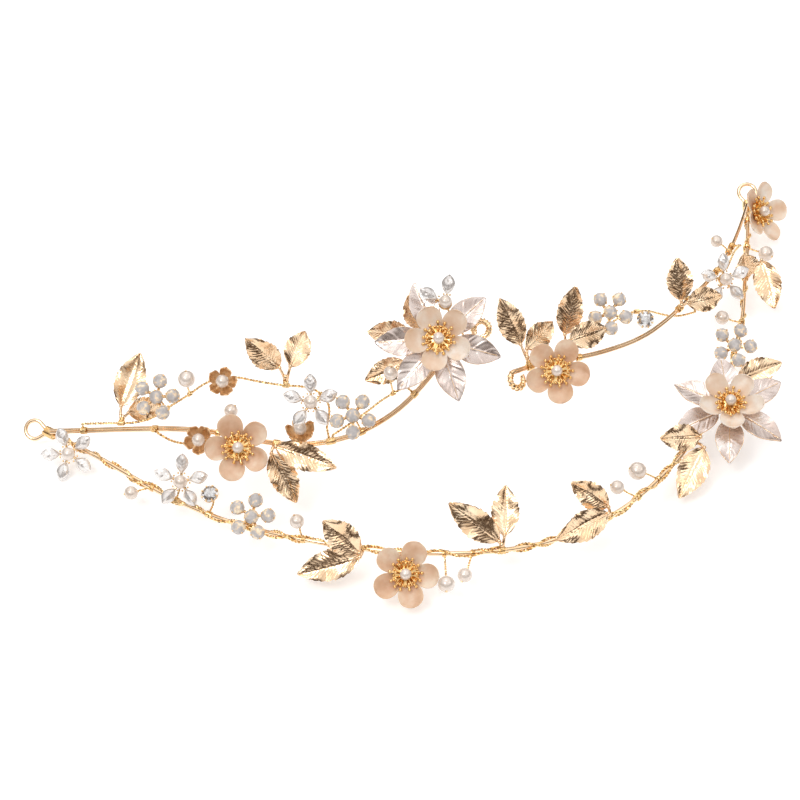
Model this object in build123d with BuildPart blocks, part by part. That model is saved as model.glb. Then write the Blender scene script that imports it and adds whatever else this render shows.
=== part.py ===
from build123d import *
import os
from math import cos, radians, sin, tan

# A bridal headpiece of bent gold wire: a long front band and two shorter upper
# arms, all three dressed with leaves, flowers, stones and pearls on wire stems.
# Millimetres, +Z up. The piece stands on a table, resting on its lowest
# ornaments. The band's two ends lie on a line along X, and the band bows to -Y.

os.makedirs("parts", exist_ok=True)

# --- driving dimensions -------------------------------------------------------
band_height = 11.9  # band wire's centre above the table
foot_centre = (4.2, -59.4)  # middle of the footprint, on the grid the routes are drawn on
facing_turn = 27.0  # ornaments face up and out over the left front
facing_lift = 43.0

band_wire_radius = 0.8
arm_wire_radius = 0.9
vine_wire_radius = 0.4
loop_wire_radius = 0.75
arm_start = 6.0  # arms begin this far along their route, clear of the binding
binding_reach = 2.8
binding_radius = 1.9

leaf_thickness = 0.8
leaf_stem_radius = 0.55
petal_thickness = 0.7
petal_length = 8.0
petal_width = 8.4
petal_circle = 7.4  # radius on which a shell petal's middle lies
spray_leaf_length = 17.0
spray_leaf_width = 8.6
spray_leaf_start = 4.6
stone_radius = 2.5
stone_height = 2.6
opal_circle = 5.75
marquise_length = 6.2
marquise_width = 4.2
marquise_height = 1.8
marquise_circle = 6.2
setting_thickness = 0.7
cup_height = 1.0
crown_radius = 4.9
crown_height = 3.2
flower_pearl_radius = 2.0
stem_radius = 0.4
clear_gap = 0.12

# --- frame --------------------------------------------------------------------
across = Vector(cos(radians(facing_turn)), -sin(radians(facing_turn)), 0)
rise = Vector(
    sin(radians(facing_turn)) * sin(radians(facing_lift)),
    cos(radians(facing_turn)) * sin(radians(facing_lift)),
    cos(radians(facing_lift)),
)
facing = across.cross(rise)


def on_table(x, y, z):
    """A point of the drawing grid, in the part's own frame."""
    return Vector(x - foot_centre[0], y - foot_centre[1], z + band_height)


# Hand-bent routes on the drawing grid. Heights are from the band's front, and
# the band dips a little towards its two ends.
band_points = [
    (-139, 6, -6), (-129.5, -12, -5), (-121.5, -31, -4), (-112, -51, -3),
    (-99.5, -70, -2), (-84.5, -86, -1), (-66, -102, 0), (-47, -114, 0), (-24, -124, 0),
    (0, -128, 0), (24, -124, 0), (46, -114, 0), (65, -102, 0), (82.5, -87, -1),
    (97, -71, -2), (111, -53, -3), (124.5, -31, -4), (137, -12, -5), (147, 6, -6),
]
left_arm_points = [
    (-139, 4, -4), (-127.5, -7, 1), (-116, -18.5, 6.5), (-103, -31, 12), (-91, -43, 15),
    (-79, -55, 15), (-67, -64, 17), (-55, -70, 21), (-46, -73, 26), (-38, -75, 32),
    (-31, -75, 38), (-24, -74, 44), (-16, -74, 49), (-7, -76, 53),
]
right_arm_points = [
    (145.5, 4, -4), (132.5, -12, -1), (116.5, -27.5, 1.5), (103, -38, 4.5), (91, -46, 8),
    (78, -55, 11), (62, -63, 14), (44, -67, 18), (30, -69, 22), (18, -70, 26),
    (6, -73, 29),
]
left_vine_long = [
    (-129.5, -4, 2.5), (-122, -12, 6.5), (-115.5, -19, 9.5), (-108.5, -21.5, 11.5), (-102.5, -22, 15),
    (-97, -24.5, 19.5), (-90, -28, 27), (-82, -32, 29), (-76, -38, 29), (-69, -45, 30),
    (-61, -51, 31), (-58, -56, 29), (-58, -60, 26), (-61, -63, 22),
]
left_vine_short = [
    (-59.5, -64.5, 19), (-53.5, -63, 19.5), (-45.5, -64.5, 25), (-41, -67, 31), (-35, -72, 38),
]
left_vine_slack = [
    (-112, -26, 12), (-109, -31, 10), (-105, -35, 9), (-101, -38, 10), (-97, -39, 12.5),
]
right_vine_long = [
    (34, -65, 22), (47, -60, 21), (60, -54, 20), (70, -52, 16), (75, -51, 12),
    (81, -51, 8), (87, -51, 6), (93, -49, 4),
]
right_vine_short = [(128, -21, 1.5), (123.5, -24.5, 3.5), (119.5, -29, 5), (114.5, -34, 5)]


def bent_wire(points):
    """Straight runs joined by the largest tangent arcs that the runs allow."""
    corners = [on_table(*p) for p in points]
    radii = []
    for before, corner, after in zip(corners, corners[1:], corners[2:]):
        run_in, run_out = corner - before, after - corner
        half_turn = radians(run_in.get_angle(run_out) / 2)
        radii.append(0.45 * min(run_in.length, run_out.length) / tan(half_turn))
    with BuildLine() as route:
        FilletPolyline(corners, radius=radii)
    return route.wire()


band_route = bent_wire(band_points)
left_arm_route = bent_wire(left_arm_points)
right_arm_route = bent_wire(right_arm_points)


def along(route, station):
    return route.position_at(station, PositionMode.LENGTH)


def spot(route, station, side=0.0, up=0.0, proud=0.0):
    """A point beside a wire: so far to the side, up, and proud of it."""
    return along(route, station) + across * side + rise * up + facing * proud


def face_plane(centre, turn=0.0, lift=0.0):
    """The plane of a flower: facing the common way, then turned about the
    vertical and lifted by the given degrees."""
    azimuth, height = radians(facing_turn - turn), radians(facing_lift + lift)
    normal = Vector(-sin(azimuth) * cos(height), -cos(azimuth) * cos(height), sin(height))
    side = Vector(cos(azimuth), -sin(azimuth), 0)
    return Plane(origin=centre, x_dir=side, z_dir=normal)


def leaf_plane(base, angle, lean):
    """The plane of a leaf that grows from its base at an angle in the facing
    plane, and leans out of that plane."""
    heading = across * cos(radians(angle)) + rise * sin(radians(angle))
    grow = heading * cos(radians(lean)) + facing * sin(radians(lean))
    normal = facing * cos(radians(lean)) - heading * sin(radians(lean))
    return Plane(origin=base, x_dir=grow, z_dir=normal)


def finish_part(part, name):
    part.label = name
    export_step(part, f"parts/{name}.step")


# --- wires --------------------------------------------------------------------
def make_wire(name, route, radius, start=0.0, end=0.0):
    """A round wire along its route, trimmed at either end."""
    length = route.length
    kept = route.trim(start / length, 1 - end / length) if start or end else route
    with BuildPart() as wire:
        with BuildLine():
            add(kept)
        with BuildSketch(Plane(origin=kept.position_at(0), z_dir=kept.tangent_at(0))):
            Circle(radius)
        sweep()
    finish_part(wire.part, name)


make_wire("front_band_wire", band_route, band_wire_radius, binding_reach, binding_reach)
make_wire("left_arm_wire", left_arm_route, arm_wire_radius, arm_start)
make_wire("right_arm_wire", right_arm_route, arm_wire_radius, arm_start)

# The fine twisted wire that winds the band runs here as one plain tube close
# under the band.
vine_drop = 1.4
wound_points = [(x, y, z - vine_drop) for x, y, z in band_points[1:-1]]
make_wire("front_vine_wire", bent_wire(wound_points), vine_wire_radius)


def make_vines(name, routes):
    with BuildPart() as vines:
        for points in routes:
            route = bent_wire(points)
            start = Plane(origin=route.position_at(0), z_dir=route.tangent_at(0))
            with BuildLine():
                add(route)
            with BuildSketch(start):
                Circle(vine_wire_radius)
            sweep()
    finish_part(vines.part, name)


make_vines("left_vine_wires", [left_vine_long, left_vine_short, left_vine_slack])
make_vines("right_vine_wires", [right_vine_long, right_vine_short])

# End loops: hairpins of wire that a comb, a ribbon or a hair grip goes through.
# Each points back and outward. The left one has its outer side lower, and the
# right one is bent upwards.
loop_bend_radius = 3.3
loop_reach = 6.0
loop_half_bend = 130
loop_grip = 0.8  # how far a loop's foot sits back inside its binding
left_loop_tilt = 45.0
right_loop_lift = 30.0


def make_end_loop(name, end, heading, normal):
    lie = Plane(origin=end, x_dir=heading, z_dir=normal)
    with BuildPart() as loop:
        with BuildLine(lie) as path:
            bend = CenterArc((loop_reach, 0), loop_bend_radius, -loop_half_bend, 2 * loop_half_bend)
            PolarLine(bend @ 1, 3.0, direction=bend % 1)
            PolarLine(bend @ 0, 3.0, direction=(bend % 0) * -1)
        whole = path.wire()
        with BuildSketch(Plane(origin=whole @ 0, z_dir=whole % 0)):
            Circle(loop_wire_radius)
        sweep(path=whole)
    finish_part(loop.part, name)


def make_binding(name, route, at_start):
    """A short bar round the wires where an arm and a loop join the band's end."""
    if at_start:
        end, inward = route.position_at(0), route.tangent_at(0)
    else:
        end, inward = route.position_at(1), route.tangent_at(1) * -1
    with BuildPart() as binding:
        with BuildSketch(Plane(origin=end - inward * 1.2, z_dir=inward)):
            Circle(binding_radius)
        extrude(amount=1.2 + binding_reach)
    finish_part(binding.part, name)


upright = Vector(0, 0, 1)
left_loop_way = Vector(-sin(radians(50)), cos(radians(50)), 0)
left_loop_normal = upright.rotate(Axis((0, 0, 0), left_loop_way), -left_loop_tilt)
right_level = Vector(sin(radians(27)), cos(radians(27)), 0)
right_sideways = Axis((0, 0, 0), right_level.cross(upright))
right_loop_way = right_level.rotate(right_sideways, right_loop_lift)
right_loop_normal = upright.rotate(right_sideways, right_loop_lift)
left_loop_foot = band_route.position_at(0) - left_loop_way * loop_grip
right_loop_foot = band_route.position_at(1) - right_loop_way * loop_grip
make_end_loop("left_end_loop", left_loop_foot, left_loop_way, left_loop_normal)
make_end_loop("right_end_loop", right_loop_foot, right_loop_way, right_loop_normal)
make_binding("left_end_binding", band_route, True)
make_binding("right_end_binding", band_route, False)


# Tip loops: the inner end of each arm is turned round into a small eye.
def make_tip_loop(name, route, radius, turn_side):
    tip, way = route.position_at(1), route.tangent_at(1)
    flat = (facing - way * facing.dot(way)).normalized() * turn_side
    with BuildPart() as loop:
        with BuildLine(Plane(origin=tip, x_dir=way, z_dir=flat)) as path:
            JernArc((0, 0), (1, 0), radius, 290)
        whole = path.wire()
        with BuildSketch(Plane(origin=whole @ 0, z_dir=whole % 0)):
            Circle(arm_wire_radius)
        sweep(path=whole)
    finish_part(loop.part, name)


make_tip_loop("left_tip_loop", left_arm_route, 2.7, 1)
make_tip_loop("right_tip_loop", right_arm_route, 2.9, 1)


# --- leaves -------------------------------------------------------------------
def leaf_outline(length, width):
    """A pointed leaf from its base at the origin to its tip on +X."""
    with BuildSketch() as leaf:
        with BuildLine():
            ThreePointArc((0, 0), (length * 0.42, width / 2), (length, 0))
            ThreePointArc((0, 0), (length * 0.42, -width / 2), (length, 0))
        make_face()
    return leaf.sketch


def make_leaf_pair(name, route, station, leaves):
    """Cast leaves, each on its own short stem from one knot on the wire. Each
    leaf gives its base to the side, up and proud of the knot, the angle it
    grows at, its lean, its length and its width."""
    with BuildPart() as pair:
        for side, up, proud, angle, lean, length, width in leaves:
            base = spot(route, station, side, up, proud)
            with BuildSketch(leaf_plane(base, angle, lean)):
                add(leaf_outline(length, width))
            extrude(amount=leaf_thickness / 2, both=True)
        for side, up, proud, angle, lean, length, width in leaves:
            foot = spot(route, station, 0.25 * side, 0.25 * up, 1.0 + 0.4 * proud)
            base = spot(route, station, side, up, proud)
            stem = base - foot
            if stem.length > 4:
                with BuildSketch(Plane(origin=foot + stem * 0.22, z_dir=stem)):
                    Circle(leaf_stem_radius)
                extrude(amount=stem.length * 0.78 - clear_gap - 0.5)
    finish_part(pair.part, name)


# side, up, proud, angle, lean, length, width
make_leaf_pair("front_leaf_pair_1", band_route, 137.5, [
    (-6.5, -0.5, 2.0, 140, 15, 17, 10), (-6.5, -2.5, 2.0, 195, -10, 22, 10)])
make_leaf_pair("front_leaf_pair_2", band_route, 182.5, [
    (-4.0, 3.0, 2.0, 143, 12, 22, 9.5), (-2.0, 5.0, 2.0, 89, -15, 17, 9)])
make_leaf_pair("front_leaf_pair_3", band_route, 230.5, [
    (-8.0, -1.0, 5.5, 147, 20, 16, 8.5), (-8.0, -3.5, 8.2, 206, 27, 22, 9.5)])
make_leaf_pair("front_leaf_pair_4", band_route, 274.5, [
    (0.0, -1.5, 6.4, 183, 24, 15, 9), (1.5, -5.5, 6.4, 243, 20, 20.5, 10)])
make_leaf_pair("front_leaf_pair_5", band_route, 311, [
    (3.0, -3.0, 1.6, 22, -10, 17, 9)])
make_leaf_pair("front_leaf_pair_6", band_route, 373, [
    (0.5, -3.5, 7.5, 107, 40, 10, 8.5), (5.0, 1.5, 10.0, 285, 12, 18.5, 9.5)])
make_leaf_pair("left_leaf_pair_1", left_arm_route, 26.5, [
    (2.5, 8.5, 1.5, 71, -12, 19.5, 10), (5.0, 6.0, -0.5, 15, -40, 13, 8)])
make_leaf_pair("left_leaf_pair_2", left_arm_route, 95, [
    (-5.0, 26.5, 2.0, 139, 35, 17, 9), (-1.0, 27.0, 2.0, 70, -40, 16, 8.5)])
make_leaf_pair("left_leaf_pair_3", left_arm_route, 86.5, [
    (2.5, -1.5, 2.0, 342, 15, 23, 9), (1.0, -4.0, 2.0, 297, -15, 19, 9)])
make_leaf_pair("left_leaf_pair_4", left_arm_route, 145.5, [
    (-3.0, 18.0, -2.0, 175, 12, 15, 8.5), (-5.0, 9.0, -2.2, 205, -6, 15, 8),
    (0.5, 20.5, -2.0, 112, 12, 12.5, 8)])
make_leaf_pair("right_leaf_pair_1", right_arm_route, 165.5, [
    (0.0, 9.0, -2.5, 115, 15, 18, 9), (2.5, 7.5, -3.0, 47, -42, 17, 8)])
make_leaf_pair("right_leaf_pair_2", right_arm_route, 144.5, [
    (-0.5, 9.0, 1.5, 78, 15, 17.5, 8.5), (1.0, 6.5, 1.5, 20, -30, 17, 9)])
make_leaf_pair("right_leaf_pair_3", right_arm_route, 83.5, [
    (1.0, 3.5, 1.6, 96, 12, 15.5, 9), (3.5, 2.5, 1.6, 13, -32, 15, 8.5)])


# --- flowers ------------------------------------------------------------------
# Each flower: its route, station, side, up and proud; then how it is turned and
# lifted from the common facing, and the angle of its first petal.
front_flower = (band_route, 147.5, -0.5, -7.0, 3.6)
end_flower = (band_route, 404.0, 3.0, 1.0, 5.2)
front_spray = (band_route, 294.0, 3.5, -2.0, 12.0)
left_flower = (left_arm_route, 76.5, -1.0, -3.5, 4.0)
left_spray = (left_arm_route, 161.0, -4.0, 5.5, 6.2)
right_flower = (right_arm_route, 149.5, 0.5, -3.5, 7.0)

flower_poses = {
    "front_flower": (front_flower, 0, 0, 68),
    "end_flower": (end_flower, 62, -8, 40),
    "front_spray": (front_spray, 0, 31, 56),
    "left_flower": (left_flower, 0, 0, 39),
    "left_spray": (left_spray, 0, 8, 44),
    "right_flower": (right_flower, 0, 0, 64),
}


def flower_plane(flower):
    place, turn, lift, first = flower_poses[flower]
    return face_plane(spot(*place), turn, lift)


def make_petals(name, flower):
    """Five domed shell petals, here as flat ovals side by side."""
    first = flower_poses[flower][3]
    with BuildPart() as petals:
        with BuildSketch(flower_plane(flower)):
            with PolarLocations(petal_circle, 5, first):
                Ellipse(petal_length / 2, petal_width / 2)
        extrude(amount=petal_thickness)
    finish_part(petals.part, name)


def make_spray_leaves(name, flower, angles):
    """Clear moulded leaves spread behind a flower."""
    with BuildPart() as leaves:
        with BuildSketch(flower_plane(flower).offset(-2.2)) as spread:
            for angle in angles:
                start = Vector(spray_leaf_start, 0).rotate(Axis.Z, angle)
                with Locations(start):
                    add(leaf_outline(spray_leaf_length, spray_leaf_width), rotation=angle)
        extrude(amount=leaf_thickness)
    finish_part(leaves.part, name)


def make_stamens(name, flowers):
    """Stamen crowns: a small foot under the petals and a flared ring above."""
    with BuildPart() as crowns:
        for flower in flowers:
            plane = flower_plane(flower).offset(petal_thickness + clear_gap)
            with BuildSketch(plane):
                Circle(2.6)
            extrude(amount=0.8)
            with BuildSketch(plane.offset(0.8)):
                Circle(2.6)
                Circle(1.9, mode=Mode.SUBTRACT)
            with BuildSketch(plane.offset(crown_height)):
                Circle(crown_radius)
                Circle(crown_radius - 0.7, mode=Mode.SUBTRACT)
            loft()
    finish_part(crowns.part, name)


make_petals("front_flower_petals", "front_flower")
make_petals("end_flower_petals", "end_flower")
make_petals("front_spray_petals", "front_spray")
make_petals("left_flower_petals", "left_flower")
make_petals("left_spray_petals", "left_spray")
make_petals("right_flower_petals", "right_flower")
make_spray_leaves("front_spray_leaves", "front_spray", (97, 152, 206, 268, 325, 32))
make_spray_leaves("left_spray_leaves", "left_spray", (182, 231, 289, 346, 44, 114))
make_stamens("front_stamens", ["front_flower", "end_flower", "front_spray"])
make_stamens("left_stamens", ["left_flower", "left_spray"])
make_stamens("right_stamens", ["right_flower"])

# --- stone flowers ------------------------------------------------------------
# Route, station, side, up, proud, turn, lift, angle of the first stone.
end_crystal = (band_route, 11.5, -1.0, -3.5, 3.2, 0, 0, 38)
front_crystal = (band_route, 59.5, 3.0, 6.0, 2.6, 0, 0, 14)
left_crystal = (left_arm_route, 103.0, -1.5, 14.0, 4.4, 0, 6, 20)
spray_crystal = (left_arm_route, 168.5, -8.0, 13.5, 4.6, 0, 15, 82)
right_crystal = (right_arm_route, 51.0, 3.0, -2.5, 4.6, 20, 0, 11)
left_opal_near = (left_arm_route, 45.5, -1.5, 11.0, 2.4, 0, 0, 5)
left_opal_far = (left_arm_route, 120.0, -3.0, 5.5, 3.0, 0, 0, 55)
right_opal = (right_arm_route, 119.5, -4.0, 11.5, 2.0, 12, 10, 47)
front_opal_right = (band_route, 325.0, -1.5, 0.0, 7.4, 0, 12, -4)
front_opal_left = (band_route, 91.0, 1.0, 4.0, 2.2, 0, 0, 4)


def stone_plane(flower):
    return face_plane(spot(*flower[:5]), flower[5], flower[6])


def make_crystal_petals(name, flowers, counts=(5, 5)):
    """Pointed clear stones spread round a middle pearl."""
    with BuildPart() as stones:
        for flower, count in zip(flowers, counts):
            first = flower[7]
            with BuildSketch(stone_plane(flower).offset(setting_thickness)):
                for petal in range(count):
                    angle = first + 72 * petal
                    start = Vector(marquise_circle - marquise_length / 2, 0)
                    with Locations(start.rotate(Axis.Z, angle)):
                        add(leaf_outline(marquise_length, marquise_width), rotation=angle)
            extrude(amount=marquise_height)
    finish_part(stones.part, name)


def stone_centres(flower):
    """The centres of the five outer stones and of the middle one."""
    plane = stone_plane(flower)
    ring = [
        plane.from_local_coords(Vector(opal_circle, 0).rotate(Axis.Z, flower[7] + 72 * i))
        for i in range(5)
    ]
    return plane, ring + [plane.origin]


def make_opals(name, flowers):
    """Round opal stones, five round one, each a short plain disc."""
    with BuildPart() as stones:
        for flower in flowers:
            plane, centres = stone_centres(flower)
            for centre in centres:
                seat = Plane(origin=centre, x_dir=plane.x_dir, z_dir=plane.z_dir)
                with BuildSketch(seat.offset(setting_thickness + cup_height)):
                    Circle(stone_radius)
                extrude(amount=stone_height)
    finish_part(stones.part, name)


def make_settings(name, opal_flowers, crystal_flowers):
    """Cast settings: bars out from a hub, with a cup under each round stone."""
    with BuildPart() as settings:
        for flower in opal_flowers:
            plane, centres = stone_centres(flower)
            with BuildSketch(plane):
                Circle(2.0)
                with PolarLocations(opal_circle / 2, 5, flower[7]):
                    Rectangle(opal_circle, 1.0)
            extrude(amount=setting_thickness)
            for centre in centres:
                seat = Plane(origin=centre, x_dir=plane.x_dir, z_dir=plane.z_dir)
                with BuildSketch(seat.offset(setting_thickness)):
                    Circle(stone_radius * 0.8)
                with BuildSketch(seat.offset(setting_thickness + cup_height)):
                    Circle(stone_radius)
                loft()
        for flower, count in crystal_flowers:
            with BuildSketch(stone_plane(flower)):
                Circle(2.2)
                for petal in range(count):
                    angle = flower[7] + 72 * petal
                    middle = Vector(marquise_circle / 2, 0).rotate(Axis.Z, angle)
                    with Locations(middle):
                        Rectangle(marquise_circle, 1.2, rotation=angle)
            extrude(amount=setting_thickness)
    finish_part(settings.part, name)


make_crystal_petals("end_crystal_petals", [end_crystal])
make_crystal_petals("front_crystal_petals", [front_crystal])
make_crystal_petals("left_crystal_petals", [left_crystal, spray_crystal], (5, 2))
make_crystal_petals("right_crystal_petals", [right_crystal])
make_opals("front_opals", [front_opal_left, front_opal_right])
make_opals("left_opals", [left_opal_near, left_opal_far])
make_opals("right_opals", [right_opal])
make_settings(
    "front_stone_settings",
    [front_opal_left, front_opal_right], [(end_crystal, 5), (front_crystal, 5)])
make_settings(
    "left_stone_settings",
    [left_opal_near, left_opal_far], [(left_crystal, 5), (spray_crystal, 2)])
make_settings("right_stone_settings", [right_opal], [(right_crystal, 5)])


# --- single stones in prong cups ----------------------------------------------
solitaire_radius = 3.0
front_solitaire = face_plane(spot(band_route, 73.5, 2.3, 6.0, 3.2), -35, 20)
right_solitaire = face_plane(spot(right_arm_route, 102.5, -2.5, 4.0, 3.4), 0, 0)


def make_solitaire(stone_name, cup_name, plane):
    """A round brilliant: table, crown and pavilion, over a tapered cup."""
    with BuildPart() as stone:
        with BuildSketch(plane):
            Circle(0.4)
        with BuildSketch(plane.offset(1.8)):
            Circle(solitaire_radius)
        loft()
        with BuildSketch(plane.offset(1.8)):
            Circle(solitaire_radius)
        with BuildSketch(plane.offset(2.8)):
            Circle(solitaire_radius * 0.6)
        loft()
    finish_part(stone.part, stone_name)
    with BuildPart() as cup:
        with BuildSketch(plane.offset(-1.6)):
            Circle(1.0)
        with BuildSketch(plane.offset(-clear_gap)):
            Circle(1.6)
        loft()
    finish_part(cup.part, cup_name)


make_solitaire("front_solitaire_stone", "front_solitaire_cup", front_solitaire)
make_solitaire("right_solitaire_stone", "right_solitaire_cup", right_solitaire)

# --- small cup flowers --------------------------------------------------------
cup_flower_radius = 4.6
cup_flower_depth = 3.6
cup_flowers = [
    face_plane(spot(left_arm_route, 66, 3.0, 17.0, 1.8), 0, 10),
    face_plane(spot(left_arm_route, 61, -0.5, -3.2, 2.4), 0, 0),
    face_plane(spot(left_arm_route, 98.5, -1.0, 3.6, -2.0), 0, 35),
]
with BuildPart() as cups:
    for plane in cup_flowers:
        with BuildSketch(plane):
            Circle(2.2)
        with BuildSketch(plane.offset(cup_flower_depth)):
            Circle(cup_flower_radius)
        loft()
        with BuildSketch(plane.offset(0.7)):
            Circle(1.6)
        with BuildSketch(plane.offset(cup_flower_depth)):
            Circle(cup_flower_radius - 0.6)
        loft(mode=Mode.SUBTRACT)
finish_part(cups.part, "left_cup_flowers")


# --- pearls and their stems ---------------------------------------------------
def flower_pearl(flower, proud, radius=flower_pearl_radius):
    plane = flower_plane(flower)
    return plane.origin + plane.z_dir * proud, radius


def stone_flower_pearl(flower, radius):
    plane = stone_plane(flower)
    return plane.origin + plane.z_dir * (setting_thickness + radius + clear_gap), radius


# Route, station, foot to the side and up, pearl to the side, up and proud, radius.
front_stem_pearls = [
    (band_route, 50.5, 0, 0, -7.5, -1.5, 3.0, 2.4),
    (band_route, 112, 0, 0, -3.0, 6.5, 3.0, 2.5),
    (band_route, 160.5, 0, 0, 0.3, -10.0, 7.2, 2.9),
    (band_route, 170.5, 0, 0, -3.5, -7.5, 3.0, 2.5),
    (band_route, 235.5, 0, 0, -8.0, 3.0, 3.0, 2.5),
    (band_route, 247, 0, 0, -8.0, 2.5, 4.0, 3.2),
    (band_route, 340.5, 0, 0, -7.5, 1.0, 3.0, 2.6),
    (band_route, 386, 0, 0, 6.5, -3.5, 5.5, 2.9),
]
left_stem_pearls = [
    (left_arm_route, 55, 1.0, 10.3, 0.5, 17.5, 4.0, 3.0),
    (left_arm_route, 66.5, 0.5, 1.5, 5.5, 7.5, 3.0, 2.4),
    (left_arm_route, 135, -3.5, 4.5, -2.5, 12.5, 5.0, 2.4),
]
right_stem_pearls = [(right_arm_route, 34, -1.0, 1.0, -5.0, 3.5, 3.5, 2.3)]
crown_seat = petal_thickness + clear_gap + 0.8 + flower_pearl_radius + clear_gap


def make_pearls(name, stem_pearls, middles):
    with BuildPart() as pearls:
        for route, station, _, _, side, up, proud, radius in stem_pearls:
            with Locations(spot(route, station, side, up, proud)):
                Sphere(radius)
        for centre, radius in middles:
            with Locations(centre):
                Sphere(radius)
    finish_part(pearls.part, name)


def make_stems(name, stem_pearls):
    """A stem for each pearl, from beside the wire to just short of the pearl."""
    with BuildPart() as stems:
        for route, station, foot_side, foot_up, side, up, proud, radius in stem_pearls:
            foot = spot(route, station, foot_side, foot_up)
            reach = spot(route, station, side, up, proud) - foot
            start = band_wire_radius + stem_radius + clear_gap
            with BuildSketch(Plane(origin=foot + reach.normalized() * start, z_dir=reach)):
                Circle(stem_radius)
            extrude(amount=reach.length - start - radius - clear_gap)
    finish_part(stems.part, name)


cup_pearl_radius = 2.3
make_pearls("front_pearls", front_stem_pearls, [
    flower_pearl("front_flower", crown_seat), flower_pearl("end_flower", crown_seat),
    flower_pearl("front_spray", crown_seat),
    stone_flower_pearl(end_crystal, 2.4), stone_flower_pearl(front_crystal, 2.4)])
make_pearls("left_pearls", left_stem_pearls, [
    flower_pearl("left_flower", crown_seat), flower_pearl("left_spray", crown_seat),
    stone_flower_pearl(left_crystal, 2.4), stone_flower_pearl(spray_crystal, 2.2)]
    + [(plane.origin + plane.z_dir * 3.3, cup_pearl_radius) for plane in cup_flowers])
make_pearls("right_pearls", right_stem_pearls, [
    flower_pearl("right_flower", crown_seat), stone_flower_pearl(right_crystal, 2.3)])
make_stems("front_stems", front_stem_pearls)
make_stems("left_stems", left_stem_pearls)
make_stems("right_stems", right_stem_pearls)
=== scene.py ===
import bpy
import bmesh
import numpy as np
from math import cos, pi, radians, sin
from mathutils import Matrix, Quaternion, Vector


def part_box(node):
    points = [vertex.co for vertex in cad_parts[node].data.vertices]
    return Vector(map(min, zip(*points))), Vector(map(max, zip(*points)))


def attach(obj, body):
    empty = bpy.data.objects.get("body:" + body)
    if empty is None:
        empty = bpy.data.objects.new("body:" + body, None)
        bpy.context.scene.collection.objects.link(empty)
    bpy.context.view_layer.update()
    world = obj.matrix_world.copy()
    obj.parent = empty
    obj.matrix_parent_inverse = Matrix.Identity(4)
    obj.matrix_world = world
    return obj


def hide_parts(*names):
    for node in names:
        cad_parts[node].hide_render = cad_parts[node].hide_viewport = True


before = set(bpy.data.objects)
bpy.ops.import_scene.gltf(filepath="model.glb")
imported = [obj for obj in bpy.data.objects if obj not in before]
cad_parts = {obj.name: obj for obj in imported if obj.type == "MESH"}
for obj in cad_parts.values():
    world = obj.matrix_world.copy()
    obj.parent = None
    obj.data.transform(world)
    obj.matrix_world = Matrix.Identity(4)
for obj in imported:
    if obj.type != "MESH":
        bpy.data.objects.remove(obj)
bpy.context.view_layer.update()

print("frame loaded:", len(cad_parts), "nodes")
mm = 0.001

# the way all the ornaments face: over the left front, and up
facing = {"turn": radians(27), "lift": radians(43)}
across = np.array([cos(facing["turn"]), -sin(facing["turn"]), 0.0])
rise = np.array([sin(facing["turn"]) * sin(facing["lift"]), cos(facing["turn"]) * sin(facing["lift"]),
                 cos(facing["lift"])])
outward = np.cross(across, rise)
bodies = {"front": "front_band", "left": "left_arm", "right": "right_arm"}

# camera first
view = {"stand": (-0.4026, -0.7826, 0.8303), "lookAt": (-0.02828, 0.01559, 0.0157), "lens": 152.3,
        "tilt": radians(-0.77)}
camera = bpy.data.objects.new("camera", bpy.data.cameras.new("camera"))
bpy.context.scene.collection.objects.link(camera)
camera.data.lens = view["lens"]
camera.data.clip_start, camera.data.clip_end = 0.05, 20
camera.location = view["stand"]
aim = (Vector(view["lookAt"]) - Vector(view["stand"])).to_track_quat("-Z", "Y")
camera.rotation_euler = (aim @ Quaternion((0, 0, 1), view["tilt"])).to_euler()
bpy.context.scene.camera = camera
bpy.context.scene.view_settings.view_transform = "Standard"

# small tools for lines, tubes and skins


def unit(v):
    v = np.asarray(v, float)
    return v / np.linalg.norm(v)


def middleOf(points):
    return (points.min(0) + points.max(0)) / 2


def sideways(axis, hint):
    # two directions square to an axis and to each other
    a = unit(np.cross(axis, hint))
    return a, np.cross(axis, a)


footCentre = (4.2, -59.4)  # middle of the footprint on the drawing grid, mm
bandHeight = 11.9


def laid(points):
    # from the drawing grid, in mm, to the frame
    return [((x - footCentre[0]) * mm, (y - footCentre[1]) * mm, (z + bandHeight) * mm) for x, y, z in points]


def bowed(start, corner, end, count):
    # a curve that leaves start and reaches end, drawn towards the corner
    t = np.linspace(0, 1, count)[:, None]
    return (1 - t) ** 2 * start + 2 * t * (1 - t) * corner + t * t * end


def routeLine(points, step=0.5):
    # one smooth curve through the bends, read back as evenly spaced points
    curve = bpy.data.curves.new("route", "CURVE")
    curve.dimensions = "3D"
    spline = curve.splines.new("NURBS")
    spline.points.add(len(points) - 1)
    for p, co in zip(spline.points, points):
        p.co = (*co, 1.0)
    spline.order_u = 3
    spline.use_endpoint_u = True
    spline.resolution_u = 24
    holder = bpy.data.objects.new("route", curve)
    bpy.context.scene.collection.objects.link(holder)
    mesh = bpy.data.meshes.new_from_object(holder)
    line = np.array([v.co[:] for v in mesh.vertices])
    bpy.data.objects.remove(holder)
    bpy.data.curves.remove(curve)
    bpy.data.meshes.remove(mesh)
    return resample(line, step * mm)


def stations(line):
    return np.concatenate([[0], np.cumsum(np.linalg.norm(np.diff(line, axis=0), axis=1))])


def resample(line, step):
    s = stations(line)
    at = np.linspace(0, s[-1], max(3, int(s[-1] / step) + 1))
    return np.stack([np.interp(at, s, line[:, k]) for k in range(3)], axis=1)


def tangents(line):
    t = np.gradient(line, axis=0)
    return t / np.linalg.norm(t, axis=1, keepdims=True)


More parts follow.
